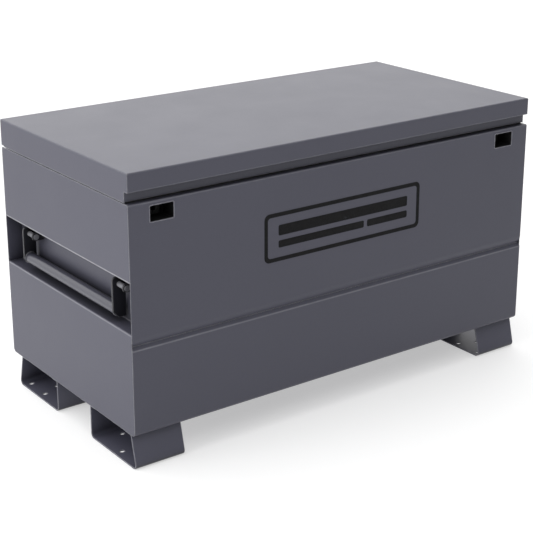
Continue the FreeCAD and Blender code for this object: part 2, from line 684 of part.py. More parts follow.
def make_hinge_leaf(name, first_knuckle, leaf_z, tab_low, tab_high):
    """A leaf with every second knuckle, bored for the pin."""
    leaf_back = f"{HINGE_Y} - dim.knuckle_radius - dim.leaf_gap"
    pieces = [plate(name + "_flat", ("dim.hinge_length", "dim.hinge_leaf", "dim.hinge_sheet"),
                    ("-dim.hinge_length / 2", f"{leaf_back} - dim.hinge_leaf", leaf_z))]
    pitch = f"dim.hinge_length / {KNUCKLES}"
    for number in range(first_knuckle, KNUCKLES, 2):
        start_x = f"-dim.hinge_length / 2 + {number} * {pitch} + dim.knuckle_gap / 2"
        run = f"{pitch} - dim.knuckle_gap"
        pieces.append(rod(f"{name}_knuckle_{number}", "X", "dim.knuckle_radius", run,
                          (start_x, HINGE_Y, "dim.hinge_z")))
        tab_size = (run, "dim.knuckle_radius + dim.leaf_gap", f"{tab_high} - ({tab_low})")
        pieces.append(plate(f"{name}_tab_{number}", tab_size, (start_x, leaf_back, tab_low)))
    bore = rod(name + "_bore", "X", "dim.hinge_pin_radius + dim.pin_clearance",
               "dim.hinge_length * 2", ("-dim.hinge_length", HINGE_Y, "dim.hinge_z"))
    node(cut(name, join(name + "_solid", pieces), bore), name)


def make_hinge():
    """A continuous hinge: one leaf on the back panel's flange, one under the lid's back flange."""
    make_hinge_leaf("hinge_body_leaf", 0, "dim.back_top",
                    "dim.hinge_z - dim.knuckle_radius", "dim.back_top + dim.hinge_sheet")
    lid_leaf_z = "dim.lid_back_bottom - dim.hinge_sheet"
    make_hinge_leaf("hinge_lid_leaf", 1, lid_leaf_z, lid_leaf_z, "dim.hinge_z + dim.knuckle_radius")
    node(rod("hinge_pin", "X", "dim.hinge_pin_radius", "dim.hinge_length",
             ("-dim.hinge_length / 2", HINGE_Y, "dim.hinge_z")), "hinge_pin")


# ---- Drop handles ----

def make_handle(name, side):
    """Two arms and a grip tube, hung on two pinned brackets in the pocket of one end."""
    pivot_x = f"{side} * (dim.length / 2 - dim.handle_pivot_in)"
    pivot_z = "dim.handle_pivot_z"
    wall_x = f"{side} * (dim.length / 2 - dim.pocket_depth)"
    arms = []
    lugs = []
    pins = []
    spacers = []
    for place_name, step in (("front", -1), ("back", 1)):
        key = f"{name}_{place_name}"
        arm_y = f"({step} * dim.arm_offset)"
        half = "dim.arm_width / 2"
        arm = doc.addObject("PartDesign::Body", key + "_arm")
        sketch = new_sketch(arm, key + "_arm_outline", "Y", f"-{arm_y}")
        outer = f"{pivot_x} + {side} * {half}"
        inner = f"{pivot_x} - {side} * {half}"
        top = f"{pivot_z} + dim.arm_top"
        bottom = f"{pivot_z} - dim.arm_bottom"
        draw_outline(sketch, [(outer, top), (outer, f"{bottom} + dim.arm_chamfer"),
                              (f"{outer} - {side} * dim.arm_chamfer", bottom),
                              (inner, bottom), (inner, top)])
        pad(arm, sketch, "dim.arm_sheet")
        bend(arm, "Y", "dim.arm_corner", [(outer, top), (inner, top)])
        hole = new_sketch(arm, key + "_arm_hole", "Y", f"-{arm_y}")
        draw_circles(hole, [(pivot_x, pivot_z)], "dim.handle_pin_radius + dim.pin_clearance")
        pocket(arm, hole, "dim.arm_sheet * 3")
        arms.append(arm)

        # Each bracket has one lug close behind the arm, and one beyond the spacer in front of it.
        arm_half = "(dim.arm_sheet / 2 + dim.face_gap)"
        back_lug_y = f"{arm_y} + {arm_half}"
        spacer_y = f"{arm_y} - {arm_half} - dim.spacer_length"
        front_lug_y = f"{spacer_y} - dim.lug_sheet"
        for lug_name, lug_y in (("front", front_lug_y), ("back", back_lug_y)):
            lugs.append(make_lug(f"{key}_{lug_name}_lug", side, pivot_x, wall_x, lug_y))
        spacers.append(tube(key + "_spacer", "Y", "dim.spacer_radius",
                            "dim.handle_pin_radius + dim.pin_clearance", "dim.spacer_length",
                            (pivot_x, spacer_y, pivot_z)))
        pin_run = "dim.spacer_length + dim.arm_sheet + 2 * dim.face_gap + 2 * dim.lug_sheet"
        head = "dim.lug_sheet / 2"
        shank = rod(key + "_pin_shank", "Y", "dim.handle_pin_radius", f"{pin_run} + 2 * {head}",
                    (pivot_x, f"{front_lug_y} - {head}", pivot_z))
        front_head = rod(key + "_pin_head", "Y", "dim.handle_pin_radius * 1.5", head,
                         (pivot_x, f"{front_lug_y} - {head}", pivot_z))
        ring = rod(key + "_pin_ring", "Y", "dim.handle_pin_radius * 1.5", head,
                   (pivot_x, f"{back_lug_y} + dim.lug_sheet", pivot_z))
        pins.append(join(key + "_pin", [shank, front_head, ring]))
    group(name + "_handle_arms", arms)
    group(name + "_handle_lugs", lugs)
    group(name + "_handle_pins", pins)
    group(name + "_handle_spacers", spacers)
    grip = tube(name + "_grip", "Y", "dim.grip_radius", "dim.grip_radius - dim.grip_wall",
                "2 * dim.arm_offset - dim.arm_sheet",
                (pivot_x, "-dim.arm_offset + dim.arm_sheet / 2", f"{pivot_z} - dim.grip_drop"))
    node(grip, name + "_handle_grip")


def make_lug(name, side, pivot_x, wall_x, low_y):
    """A plate that stands out from the pocket's back wall, with a round end about the pin."""
    round_end = rod(name + "_end", "Y", "dim.lug_radius", "dim.lug_sheet",
                    (pivot_x, low_y, "dim.handle_pivot_z"))
    run = "dim.pocket_depth - dim.handle_pivot_in"
    web = plate(name + "_web", (run, "dim.lug_sheet", "2 * dim.lug_radius"),
                (pivot_x if side < 0 else wall_x, low_y, "dim.handle_pivot_z - dim.lug_radius"))
    bore = rod(name + "_bore", "Y", "dim.handle_pin_radius + dim.pin_clearance", "dim.lug_sheet * 3",
               (pivot_x, f"{low_y} - dim.lug_sheet", "dim.handle_pivot_z"))
    return cut(name, join(name + "_solid", [round_end, web]), bore)


# ---- Gas struts ----

STRUT_TURN = "(dim.strut_body_angle - dim.strut_lid_angle) / 2"
STRUT_SHUT = "(2 * dim.strut_reach * sin((dim.strut_body_angle + dim.strut_lid_angle) / 2))"
BODY_STUD = (f"{HINGE_Y} - dim.strut_reach * cos(dim.strut_body_angle)",
             "dim.hinge_z - dim.strut_reach * sin(dim.strut_body_angle)")
NECK_BASE = "dim.stud_radius * 1.4"
LID_STUD = (f"{HINGE_Y} - dim.strut_reach * cos(dim.strut_lid_angle)",
            "dim.hinge_z + dim.strut_reach * sin(dim.strut_lid_angle)")


def on_strut(drawn, side, label):
    """Lay a piece drawn along +Z from the body stud onto the line between the strut's studs."""
    made = doc.addObject("Part::Compound", label)
    made.Links = [drawn]
    made.Placement = FreeCAD.Placement(FreeCAD.Vector(), FreeCAD.Rotation(X_AXIS, value(STRUT_TURN)))
    made.setExpression("Placement.Rotation.Angle", STRUT_TURN)
    place(made, (f"{side} * dim.strut_plane", *BODY_STUD))
    return node(made, label)


def make_eye(name, centre, neck_start):
    """A ring about a stud along X, with a socket along the strut."""
    ring = rod(name + "_ring", "X", "dim.eye_radius", "dim.eye_width",
               ("-dim.eye_width / 2", "0", centre))
    neck = rod(name + "_neck", "Z", "dim.eye_neck_radius", f"dim.strut_tube_start - {NECK_BASE}",
               ("0", "0", neck_start))
    bore = rod(name + "_bore", "X", "dim.stud_radius + dim.pin_clearance", "dim.eye_width * 2",
               ("-dim.eye_width", "0", centre))
    return cut(name, join(name + "_solid", [ring, neck]), bore)


def make_strut(name, side):
    """Both studs are equally far from the hinge axis, so the strut turns half as far as the lid."""
    bore_radius = "(dim.strut_tube_radius - dim.strut_tube_wall)"
    outer = rod(name + "_tube_outer", "Z", "dim.strut_tube_radius",
                "dim.strut_tube_end - dim.strut_tube_start", ("0", "0", "dim.strut_tube_start"))
    inner = rod(name + "_tube_bore", "Z", bore_radius, "dim.strut_tube_end",
                ("0", "0", "dim.strut_tube_start + dim.strut_tube_wall * 2"))
    on_strut(cut(name + "_tube", outer, inner), side, name + "_strut_cylinder")
    gland = tube(name + "_gland", "Z", bore_radius, "dim.strut_rod_radius + dim.face_gap",
                 "dim.strut_gland", ("0", "0", "dim.strut_tube_end - dim.strut_gland"))
    on_strut(gland, side, name + "_strut_gland")
    body_eye = make_eye(name + "_body_eye", "0", NECK_BASE)
    on_strut(body_eye, side, name + "_strut_body_eye")

    rod_start = "dim.strut_piston_start + dim.strut_piston"
    rod_end = f"{STRUT_SHUT} - dim.strut_tube_start"
    piston = rod(name + "_piston", "Z", f"{bore_radius} - dim.face_gap * 2", "dim.strut_piston",
                 ("0", "0", "dim.strut_piston_start"))
    on_strut(piston, side, name + "_strut_piston")
    piston_rod = rod(name + "_rod", "Z", "dim.strut_rod_radius", f"{rod_end} - ({rod_start})",
                     ("0", "0", rod_start))
    on_strut(piston_rod, side, name + "_strut_rod")
    rod_eye = make_eye(name + "_rod_eye", STRUT_SHUT, rod_end)
    on_strut(rod_eye, side, name + "_strut_rod_eye")
    make_stud_bracket(name + "_strut_body_bracket", side, BODY_STUD)
    make_stud_bracket(name + "_strut_lid_bracket", side, LID_STUD)


def make_stud_bracket(label, side, stud):
    """A plate on an end wall with a shouldered and headed stud that carries a strut eye."""
    stud_y, stud_z = stud
    wall = "dim.length / 2 - dim.sheet"
    plate_in = f"{wall} - dim.stud_plate"
    shoulder_in = "dim.strut_plane + dim.eye_width / 2 + dim.face_gap"
    stud_in = "dim.strut_plane - dim.eye_width / 2 - dim.face_gap"
    head_in = f"{stud_in} - dim.stud_plate / 2"

    def low_x(outer, inner):
        return f"-({outer})" if side < 0 else inner

    half = "dim.stud_radius * 2.6"
    pieces = [plate(label + "_plate", ("dim.stud_plate", f"4 * {half}", f"2 * {half}"),
                    (low_x(wall, plate_in), f"{stud_y} - 2 * {half}", f"{stud_z} - {half}"))]
    steps = [("shoulder", "dim.stud_radius * 1.6", plate_in, shoulder_in),
             ("stud", "dim.stud_radius", shoulder_in, stud_in),
             ("head", "dim.stud_radius * 1.5", stud_in, head_in)]
    for step, radius, outer, inner in steps:
        pieces.append(rod(f"{label}_{step}", "X", radius, f"{outer} - ({inner})",
                          (low_x(outer, inner), stud_y, stud_z)))
    node(join(label + "_solid", pieces), label)


# ---- Make every piece, check it and write it ----

make_front_panel()
make_back_panel()
make_floor_and_rails()
make_rim_seal()
make_lid_skin()
make_lid_stiffeners()
make_hinge()
for side_name, side_sign in SIDES:
    make_side_panel(side_name, side_sign)
    make_foot(f"front_{side_name}_foot", side_sign, -1)
    make_foot(f"back_{side_name}_foot", side_sign, 1)
    make_handle(side_name, side_sign)
    make_strut(side_name, side_sign)
group("lock_staples", [make_lock(side_name, side_sign) for side_name, side_sign in SIDES])
doc.recompute()

for made in doc.Objects:
    if "Invalid" in made.State or "Error" in made.State:
        raise RuntimeError(f"{made.Label} is {made.State}")
os.makedirs("parts", exist_ok=True)
for piece in nodes:
    shape = piece.Shape
    if shape.isNull() or not shape.isValid() or not shape.Solids:
        raise RuntimeError(f"{piece.Label} has no valid solid")
    shape.exportStep(f"parts/{piece.Label}.step")
print(len(nodes), "pieces written")
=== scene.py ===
"""Looks for the job-site tool chest: finishes for every CAD node, a front sticker, weld beads, studio."""
import json
import math
import random

import bmesh
import bpy
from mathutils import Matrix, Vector


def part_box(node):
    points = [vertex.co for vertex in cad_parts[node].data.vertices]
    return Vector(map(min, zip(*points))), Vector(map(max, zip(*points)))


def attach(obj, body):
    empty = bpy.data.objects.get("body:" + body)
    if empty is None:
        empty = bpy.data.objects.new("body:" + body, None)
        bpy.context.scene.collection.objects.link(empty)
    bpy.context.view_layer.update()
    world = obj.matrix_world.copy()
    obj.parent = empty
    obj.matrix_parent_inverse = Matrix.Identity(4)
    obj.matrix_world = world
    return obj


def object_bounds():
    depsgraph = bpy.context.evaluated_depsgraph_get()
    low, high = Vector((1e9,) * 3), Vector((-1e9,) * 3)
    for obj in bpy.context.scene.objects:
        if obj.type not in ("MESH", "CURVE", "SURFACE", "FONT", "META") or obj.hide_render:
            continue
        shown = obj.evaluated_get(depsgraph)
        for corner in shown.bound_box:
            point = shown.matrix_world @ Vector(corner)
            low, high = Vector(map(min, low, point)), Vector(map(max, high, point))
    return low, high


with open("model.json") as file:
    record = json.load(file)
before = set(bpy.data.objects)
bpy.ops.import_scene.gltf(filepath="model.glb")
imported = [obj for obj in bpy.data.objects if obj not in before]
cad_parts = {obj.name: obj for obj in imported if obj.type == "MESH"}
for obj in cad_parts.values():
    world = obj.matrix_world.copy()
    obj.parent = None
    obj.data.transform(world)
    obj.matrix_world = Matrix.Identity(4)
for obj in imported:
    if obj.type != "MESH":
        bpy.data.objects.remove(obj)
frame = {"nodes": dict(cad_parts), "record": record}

cad_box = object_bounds()
nodes = frame["nodes"]
random.seed(7)

SHEET = 0.0015
END_X = cad_box[1][0]
FRONT_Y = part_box("front_panel")[0].y

# How far from an edge the rubbed, ground and painted-highlight edges reach, and how far into a corner and
# under a ledge the painted shade reaches, in metres.
PAINT_EDGE = 0.0032
METAL_EDGE = 0.0008
CORNER_REACH = 0.055

# Noise scales per metre, from broad clouds to fine grain.
CLOUDS, SMUDGES, SCUFFS, RUB_PATCHES = 2.2, 7.0, 22.0, 28.0
DUST, WAVES, BLOTCHES, INK_SHEEN, PEBBLES = 40.0, 45.0, 55.0, 60.0, 90.0
MOTTLES, SEAL_PORES, MOULD_PORES, INK_GRAIN = 160.0, 420.0, 260.0, 300.0
STREAKS, INK_TOOTH, PEEL = 420.0, 500.0, 620.0


# ---- Node materials ----

class Tree:
    """Small helper around one material's node tree."""

    def __init__(self, name):
        self.material = bpy.data.materials.new(name)
        self.material.use_nodes = True
        self.nodes = self.material.node_tree.nodes
        self.links = self.material.node_tree.links
        self.shader = self.nodes["Principled BSDF"]
        self.place = self.add("ShaderNodeTexCoord").outputs["Object"]
        self.soft_normal = None

    def add(self, kind, **settings):
        made = self.nodes.new(kind)
        for key, setting in settings.items():
            setattr(made, key, setting)
        return made

    def link(self, source, target):
        self.links.new(source, target)

    def drive(self, source, socket):
        """Link a source to one of the shader's own sockets."""
        self.link(source, self.shader.inputs[socket])

    def noise(self, scale, detail=4.0, roughness=0.55, stretch=None):
        """Noise of the given scale per metre, optionally stretched along an axis."""
        made = self.add("ShaderNodeTexNoise")
        made.inputs["Scale"].default_value = scale
        made.inputs["Detail"].default_value = detail
        made.inputs["Roughness"].default_value = roughness
        source = self.place
        if stretch:
            mapping = self.add("ShaderNodeMapping")
            mapping.inputs["Scale"].default_value = stretch
            self.link(self.place, mapping.inputs["Vector"])
            source = mapping.outputs["Vector"]
        self.link(source, made.inputs["Vector"])
        return made.outputs["Fac"]

    def ramp(self, source, low, high, at_low=0.0, at_high=1.0):
        """Stretch low..high of the source to at_low..at_high, and hold it there beyond."""
        made = self.add("ShaderNodeMapRange")
        made.inputs["From Min"].default_value = low
        made.inputs["From Max"].default_value = high
        made.inputs["To Min"].default_value = at_low
        made.inputs["To Max"].default_value = at_high
        self.link(source, made.inputs["Value"])
        return made.outputs["Result"]

    def maths(self, operation, first, second=0.0):
        made = self.add("ShaderNodeMath", operation=operation)
        for socket, term in zip(made.inputs, (first, second)):
            if isinstance(term, float):
                socket.default_value = term
            else:
                self.link(term, socket)
        return made.outputs["Value"]

    def mix(self, factor, first, second):
        """The first colour at factor 0, the second at 1: each a constant or another node's output."""
        made = self.add("ShaderNodeMix", data_type="RGBA")
        self.link(factor, made.inputs["Factor"])
        for name, colour in (("A", first), ("B", second)):
            target = next(i for i in made.inputs if i.name == name and i.type == "RGBA")
            if isinstance(colour, tuple):
                target.default_value = (*colour, 1.0)
            else:
                self.link(colour, target)
        return next(o for o in made.outputs if o.type == "RGBA")

    def edges(self, radius):
        """1 where the surface turns within radius, 0 on the flat."""
        rounded = self.add("ShaderNodeBevel", samples=4)
        rounded.inputs["Radius"].default_value = radius
        surface = self.add("ShaderNodeNewGeometry")
        dot = self.add("ShaderNodeVectorMath", operation="DOT_PRODUCT")
        self.link(rounded.outputs["Normal"], dot.inputs[0])
        self.link(surface.outputs["Normal"], dot.inputs[1])
        self.soft_normal = rounded.outputs["Normal"]
        return self.ramp(dot.outputs["Value"], 0.985, 0.86)

    def painted_corner_shade(self, reach):
        """Painted shade mask from ambient occlusion: 1 in the open, down to 0 in corners and under ledges."""
        found = self.add("ShaderNodeAmbientOcclusion", samples=6)
        found.inputs["Distance"].default_value = reach
        return self.ramp(found.outputs["AO"], 0.15, 0.85)

    def stripe(self, axis, at, half_width):
        """1 on a plane across the axis (across X, on its mirror image too), 0 beyond half_width."""
        parts = self.add("ShaderNodeSeparateXYZ")
        self.link(self.place, parts.inputs["Vector"])
        along = parts.outputs[axis]
        if axis == "X":
            along = self.maths("ABSOLUTE", along)
        distance = self.maths("ABSOLUTE", self.maths("SUBTRACT", along, at))
        return self.ramp(distance, half_width, 0.3 * half_width)

    def bump(self, height, strength, distance):
        made = self.add("ShaderNodeBump")
        made.inputs["Strength"].default_value = strength
        made.inputs["Distance"].default_value = distance
        self.link(height, made.inputs["Height"])
        if self.soft_normal:
            self.link(self.soft_normal, made.inputs["Normal"])
        self.drive(made.outputs["Normal"], "Normal")


def scaled(colour, factor):
    return tuple(factor * c for c in colour)


def powder_coat(name, colour, roughness=0.42, rub_highlight_gain=4.0, wear=0.25, gloss=0.32, bends=()):
    """Powder coat: mottled, with orange peel, painted shade in corners and under ledges, and edges and bends
    lightened as rubbed wear and painted highlight.
    """
    tree = Tree(name)
    cloud = tree.ramp(tree.noise(CLOUDS, 5.0), 0.2, 0.8)
    fine = tree.ramp(tree.noise(MOTTLES, 3.0), 0.3, 0.7)
    blend = tree.maths("ADD", tree.maths("MULTIPLY", cloud, 0.65), tree.maths("MULTIPLY", fine, 0.35))
    base = tree.mix(blend, scaled(colour, 0.95), scaled(colour, 1.05))
    # Painted shade: the colour drops to 30% in corners, creases and under ledges.
    base = tree.mix(tree.painted_corner_shade(CORNER_REACH), scaled(colour, 0.30), base)

    # Painted highlight, partly rubbed wear: edges and the given bends are lightened to several times the
    # paint's brightness, in rub patches.
    highlit_edges = tree.edges(PAINT_EDGE)
    for strength, first, second in bends:
        line = tree.maths("MULTIPLY", tree.stripe(*first), tree.stripe(*second))
        highlit_edges = tree.maths("MAXIMUM", highlit_edges, tree.maths("MULTIPLY", line, strength))
    patches = tree.ramp(tree.noise(RUB_PATCHES, 6.0, 0.65), 0.45, 0.62)
    rub = tree.maths("ADD", tree.maths("MULTIPLY", patches, wear), 0.7)
    rub_and_highlight = tree.maths("MULTIPLY", highlit_edges, rub)
    grey = sum(colour) / 3
    rub_highlight_colour = tuple(rub_highlight_gain * (0.75 * grey + 0.25 * c) + 0.01 for c in colour)
    tree.drive(tree.mix(rub_and_highlight, base, rub_highlight_colour), "Base Color")

    smudge = tree.ramp(tree.noise(SMUDGES, 6.0, 0.6), 0.2, 0.8, roughness - 0.02, roughness + 0.03)
    tree.drive(tree.maths("SUBTRACT", smudge, tree.maths("MULTIPLY", rub_and_highlight, 0.10)), "Roughness")
    peel = tree.maths("ADD", tree.noise(PEEL, 2.0), tree.maths("MULTIPLY", tree.noise(WAVES, 2.0), 0.7))
    tree.bump(peel, 0.16, 0.0004)
    tree.shader.inputs["Specular IOR Level"].default_value = gloss
    return tree.material


def bare_metal(name, colour, roughness, stretch, metallic):
    """Plated or ground steel: fine streaks, dull blotches, brighter edges."""
    tree = Tree(name)
    streaks = tree.noise(STREAKS, 3.0, 0.6, stretch)
    blotches = tree.ramp(tree.noise(BLOTCHES, 5.0), 0.35, 0.7)
    base = tree.mix(blotches, scaled(colour, 0.78), colour)
    edge = tree.maths("MULTIPLY", tree.edges(METAL_EDGE), 0.6)
    ground = tuple(min(1.0, 1.3 * c) for c in colour)
    tree.drive(tree.mix(edge, base, ground), "Base Color")
    tree.drive(tree.ramp(streaks, 0.2, 0.8, roughness - 0.08, roughness + 0.12), "Roughness")
    tree.bump(streaks, 0.12, 0.0002)
    tree.shader.inputs["Metallic"].default_value = metallic
    return tree.material


def soft_black(name, colour, roughness, pores, depth):
    """Foam or moulded plastic: pores or pebbling, dusty high spots."""
    tree = Tree(name)
    cells = tree.add("ShaderNodeTexVoronoi")
    cells.inputs["Scale"].default_value = pores
    tree.link(tree.place, cells.inputs["Vector"])
    dust = tree.ramp(tree.noise(DUST, 5.0), 0.45, 0.8)
    dusty = tuple(2.2 * c + 0.01 for c in colour)
    tree.drive(tree.mix(dust, colour, dusty), "Base Color")
    pebbles = tree.noise(PEBBLES, 3.0)
    tree.drive(tree.ramp(pebbles, 0.2, 0.8, roughness - 0.08, roughness + 0.08), "Roughness")
    tree.bump(cells.outputs["Distance"], 0.4, depth)
    return tree.material


def printed_ink(name, dense, thin, bare):
    """Matt ink, grained from dense to thin, scuffed here and there to the colour under it."""
    tree = Tree(name)
    grain = tree.ramp(tree.noise(INK_GRAIN), 0.3, 0.7)
    scuffs = tree.ramp(tree.noise(SCUFFS, 7.0, 0.7), 0.66, 0.72)
    base = tree.mix(grain, dense, thin)
    tree.drive(tree.mix(tree.maths("MULTIPLY", scuffs, 0.25), base, bare), "Base Color")
    tree.drive(tree.ramp(tree.noise(INK_SHEEN), 0.2, 0.8, 0.55, 0.70), "Roughness")
    tree.bump(tree.noise(INK_TOOTH, 2.0), 0.1, 0.0002)
    tree.shader.inputs["Specular IOR Level"].default_value = 0.15
    return tree.material


# ---- Finishes ----

PAINT = (0.066, 0.066, 0.090)
BLACK = (0.012, 0.012, 0.013)
DENSE_INK = (0.0025, 0.0025, 0.003)
THIN_INK = (0.006, 0.006, 0.007)

# Heights of the body's bends, and of the underside of the hanging grip tubes.
RIM_Z, POCKET_TOP_Z, POCKET_BOTTOM_Z, CREASE_Z = 0.6320, 0.4566, 0.3316, 0.2945
GRIP_X, GRIP_BOTTOM_Z = 0.5990, 0.3522

# Bends painted bright as highlight lines, partly rubbed wear: strength, then the two planes that meet there
# (axis, place, half width).
BODY_HIGHLIGHT_BENDS = (
    (1.00, ("X", END_X, 0.0022), ("Z", POCKET_TOP_Z, 0.0024)),
    (0.50, ("X", END_X, 0.0022), ("Z", POCKET_BOTTOM_Z, 0.0024)),
    (0.45, ("Y", FRONT_Y, 0.0030), ("Z", CREASE_Z, 0.0026)),
    (0.30, ("Y", FRONT_Y, 0.0030), ("Z", RIM_Z, 0.0026)),
)
# Painted reflection, partly rubbed wear from hands: a bright line along the underside of each grip tube.
GRIP_HIGHLIGHT_BENDS = ((1.00, ("X", GRIP_X, 0.0080), ("Z", GRIP_BOTTOM_Z, 0.0018)),)

finish = {
    "body_paint": powder_coat("body powder coat", PAINT, bends=BODY_HIGHLIGHT_BENDS),
    "lid_paint": powder_coat("lid powder coat", PAINT, roughness=0.40),
    # Painted light: the feet get a copy of the body paint made 15% lighter, for the way light falls on them.
    "foot_paint": powder_coat("foot powder coat in painted light", scaled(PAINT, 1.15), wear=0.6),
    "handle_paint": powder_coat("handle powder coat", scaled(PAINT, 0.7), roughness=0.28, wear=0.3, gloss=0.6,
                                bends=GRIP_HIGHLIGHT_BENDS),
    # Painted shade: the handle arms and lugs get the paint at a fifth of its brightness, for the shade in the
    # pocket, and their edges are lightened much more as a painted highlight.
    "bracket_paint": powder_coat("bracket powder coat in painted shade", scaled(PAINT, 0.2), rub_highlight_gain=9.0, wear=0.5),
    # Painted shade: the lock parts are near-black, standing in for the unlit cavity behind the lock windows.
    "lock_steel": powder_coat("lock parts in painted shade black", BLACK, roughness=0.6, rub_highlight_gain=2.0),
    "hinge_steel": powder_coat("hinge powder coat", scaled(PAINT, 0.9), roughness=0.45, wear=0.7),
    "zinc_plate": bare_metal("zinc plate", (0.23, 0.23, 0.25), 0.52, (1.0, 0.05, 1.0), 0.35),
    "foam_seal": soft_black("seal foam", (0.012, 0.012, 0.012), 0.9, SEAL_PORES, 0.0012),
    "strut_paint": powder_coat("strut enamel", BLACK, roughness=0.25, rub_highlight_gain=3.0),
    "strut_plastic": soft_black("strut end moulding", (0.02, 0.02, 0.021), 0.5, MOULD_PORES, 0.0006),
    "strut_chrome": bare_metal("ground chrome", (0.75, 0.75, 0.77), 0.14, (1.0, 0.1, 0.1), 1.0),
}
# Painted highlight: the window hems get the paint 25% lighter, for the lit lips of the lock windows.
hem_painted_highlight = powder_coat("hem in painted highlight", scaled(PAINT, 1.25))
sticker_ink = printed_ink("printed ink", DENSE_INK, THIN_INK, PAINT)


def paint_nodes():
    """Give every CAD node the finish of the material slot that its record names."""
    slot_of = {s["node"]: s["material_slot"] for s in frame["record"]["subparts"]}
    for name, obj in nodes.items():
        obj.data.materials.clear()
        obj.data.materials.append(finish[slot_of[name]])


# ---- Building meshes ----

def mesh_piece(name, body, material, build):
    """A new mesh made by build(bmesh), riding on a CAD body."""
    shape = bmesh.new()
    build(shape)
    bmesh.ops.recalc_face_normals(shape, faces=shape.faces)
    mesh = bpy.data.meshes.new(name)
    shape.to_mesh(mesh)
    shape.free()
    obj = bpy.data.objects.new(name, mesh)
    bpy.context.scene.collection.objects.link(obj)
    mesh.materials.append(material)
    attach(obj, body)


def ring(shape, centre, across, up, sides):
    """A round of vertices about centre, with across and up as its half-axes."""
    angles = (2 * math.pi * k / sides for k in range(sides))
    return [shape.verts.new(centre + across * math.cos(a) + up * math.sin(a)) for a in angles]


def skin(shape, rings, closed):
    """Faces from each ring to the next, and from the last to the first where closed."""
    following = rings[1:] + rings[:1] if closed else rings[1:]
    for near, far in zip(rings, following):
        count = len(near)
        for k in range(count):
            after = (k + 1) % count
            shape.faces.new((near[k], near[after], far[after], far[k]))


def rounded_outline(cx, cz, width, height, radius, steps=6):
    """Points (x, z) round a rectangle with rounded corners."""
    points = []
    for sx, sz, start in ((1, 1, 0), (-1, 1, 90), (-1, -1, 180), (1, -1, 270)):
        for k in range(steps + 1):
            a = math.radians(start + 90 * k / steps)
            points.append((cx + sx * (width / 2 - radius) + radius * math.cos(a),
                           cz + sz * (height / 2 - radius) + radius * math.sin(a)))
    return points


# ---- Weld beads ----

BEAD_PITCH = 0.0035
BEAD_UNEVENNESS = 0.05
STITCH_RADIUS, STITCH_LENGTH, STITCH_PITCH, STITCH_START = 0.0018, 0.024, 0.046, 0.008
STITCHES_PER_FOOT = 3
LUG_BEAD_RADIUS, LUG_BEAD_INSET = 0.0016, 0.001
GRIP_BEAD_RADIUS, GRIP_BEAD_GAP, GRIP_RIPPLES = 0.0016, 0.0004, 24


def uneven():
    return random.uniform(-BEAD_UNEVENNESS, BEAD_UNEVENNESS)


def bead(shape, start, end, radius, sides=7):
    """A straight weld bead: a thin rippled run, half sunk in the corner, tapered at both ends."""
    start, end = Vector(start), Vector(end)
    run = end - start
    along = run.normalized()
    side = along.orthogonal().normalized()
    up = along.cross(side)
    count = max(3, int(3 * run.length / BEAD_PITCH))
    rings = []
    for i in range(count + 1):
        t = i / count
        ripple = 1 + 0.16 * math.sin(2 * math.pi * t * run.length / BEAD_PITCH) + uneven()
        taper = min(1.0, min(t, 1 - t) * run.length / radius + 0.25)
        r = radius * ripple * taper
        rings.append(ring(shape, start + run * t, side * r, up * r, sides))
    skin(shape, rings, closed=False)
    shape.faces.new(rings[0])
    shape.faces.new(rings[-1])


def ring_bead(shape, centre, radius, thick, steps=72, sides=6):
    """A weld bead round a circle that faces along Y."""
    rings = []
    for i in range(steps):
        a = 2 * math.pi * i / steps
        out = Vector((math.cos(a), 0, math.sin(a)))
        r = thick * (1 + 0.18 * math.sin(GRIP_RIPPLES * a) + uneven())
        rings.append(ring(shape, centre + out * radius, out * r, Vector((0, r, 0)), sides))
    skin(shape, rings, closed=True)


def foot_welds(shape):
    """Stitch welds along the flanges of the feet, under the body."""
    for corner in ("front_left", "front_right", "back_left", "back_right"):
        low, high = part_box(corner + "_foot")
        inner_y = high.y if corner.startswith("front") else low.y
        z = high.z - SHEET
        for i in range(STITCHES_PER_FOOT):
            x = low.x + STITCH_START + i * STITCH_PITCH
            bead(shape, (x, inner_y, z), (x + STITCH_LENGTH, inner_y, z), STITCH_RADIUS)


def lug_welds(shape):
    """A bead down each side of every handle lug, on the pocket's back wall."""
    for side in ("left", "right"):
        name = side + "_handle_lugs"
        low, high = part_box(name)
        wall = high.x if side == "left" else low.x
        on_wall = [v.co for v in nodes[name].data.vertices if abs(v.co.x - wall) < 1e-4]
        bottom, top = low.z + LUG_BEAD_INSET, high.z - LUG_BEAD_INSET
        for y in sorted({round(co.y, 4) for co in on_wall}):
            bead(shape, (wall, y, bottom), (wall, y, top), LUG_BEAD_RADIUS)


def grip_welds(side):
    """A ring bead where the grip tube meets each handle arm."""
    low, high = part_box(side + "_handle_grip")
    middle = (low + high) / 2
    radius = (high.z - low.z) / 2

    def build(shape):
        for y in (low.y + GRIP_BEAD_GAP, high.y - GRIP_BEAD_GAP):
            ring_bead(shape, Vector((middle.x, y, middle.z)), radius + GRIP_BEAD_GAP, GRIP_BEAD_RADIUS)
    return build


# ---- Rolled hems of the lock windows ----

HEM_RADIUS, HEM_SETBACK, WINDOW_CORNER = 0.0013, 0.0012, 0.004


